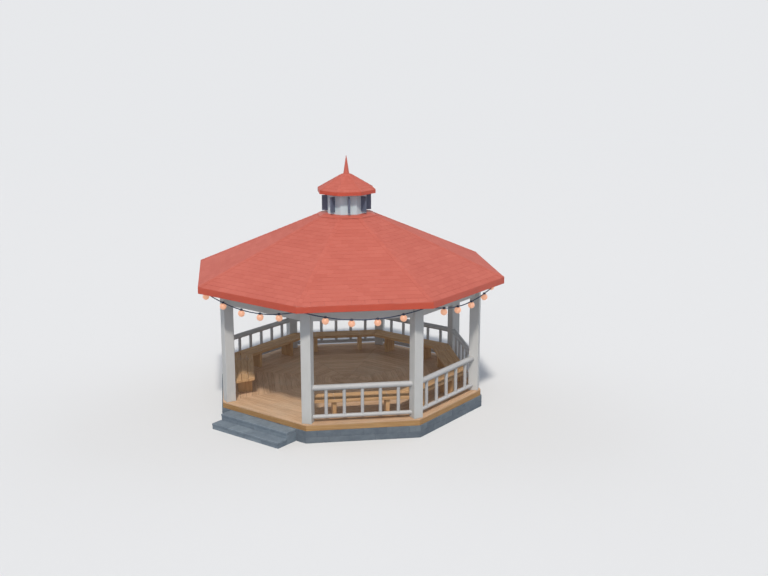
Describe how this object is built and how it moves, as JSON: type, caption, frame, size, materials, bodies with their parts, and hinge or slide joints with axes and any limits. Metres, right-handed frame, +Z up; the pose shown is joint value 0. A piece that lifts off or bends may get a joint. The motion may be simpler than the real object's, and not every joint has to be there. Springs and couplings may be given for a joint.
{
  "type": "park gazebo",
  "caption": "Octagonal open park gazebo on a masonry plinth with entrance steps, railings, inner benches, a hipped roof with a finned cupola and spire, and string lights at the eaves",
  "frame": {"origin": "the centre of the plinth's bottom face, on the ground", "axes": "+Z up; -Y points out of the entrance, down its steps; +X points to the right of someone who faces the entrance from outside"},
  "size_m": [7.391, 7.5657, 6.234],
  "materials": {
    "masonry": "slate-grey painted render",
    "deck_timber": "oiled decking",
    "bench_timber": "oiled bench planks",
    "white_timber": "white exterior paint",
    "roof_red": "matt red coating",
    "fascia_red": "dark red paint",
    "slate_fins": "dark slate paint",
    "cord_rubber": "dark cable sheath",
    "lamp_holder": "moulded socket",
    "lamp_globe": "opal peach glass"
  },
  "bodies": {
    "root": {"plinth": "masonry", "deck": "deck_timber", "step_upper": "masonry", "step_lower": "masonry", "post_1": "white_timber", "post_2": "white_timber", "post_3": "white_timber", "post_4": "white_timber", "post_5": "white_timber", "post_6": "white_timber", "post_7": "white_timber", "post_8": "white_timber", "railing_1": "white_timber", "railing_2": "white_timber", "railing_3": "white_timber", "railing_4": "white_timber", "railing_5": "white_timber", "railing_6": "white_timber", "railing_7": "white_timber", "bench_seat_1": "bench_timber", "bench_seat_2": "bench_timber", "bench_seat_3": "bench_timber", "bench_seat_4": "bench_timber", "bench_seat_5": "bench_timber", "bench_seat_6": "bench_timber", "bench_seat_7": "bench_timber", "bench_legs": "bench_timber", "eaves_beams": "white_timber", "wall_plates": "white_timber", "hip_rafters": "white_timber", "common_rafters": "white_timber", "roof_panel_1": "roof_red", "roof_panel_2": "roof_red", "roof_panel_3": "roof_red", "roof_panel_4": "roof_red", "roof_panel_5": "roof_red", "roof_panel_6": "roof_red", "roof_panel_7": "roof_red", "roof_panel_8": "roof_red", "fascia_boards": "fascia_red", "cupola_curb": "roof_red", "cupola_drum": "white_timber", "cupola_fins": "slate_fins", "cupola_roof": "roof_red", "spire": "roof_red", "light_cord_1": "cord_rubber", "light_cord_2": "cord_rubber", "light_cord_3": "cord_rubber", "light_cord_4": "cord_rubber", "light_cord_5": "cord_rubber", "light_cord_6": "cord_rubber", "light_cord_7": "cord_rubber", "light_cord_8": "cord_rubber", "light_clips": "white_timber", "lamp_holders": "lamp_holder", "lamp_globes": "lamp_globe"}
  },
  "joints": []
}
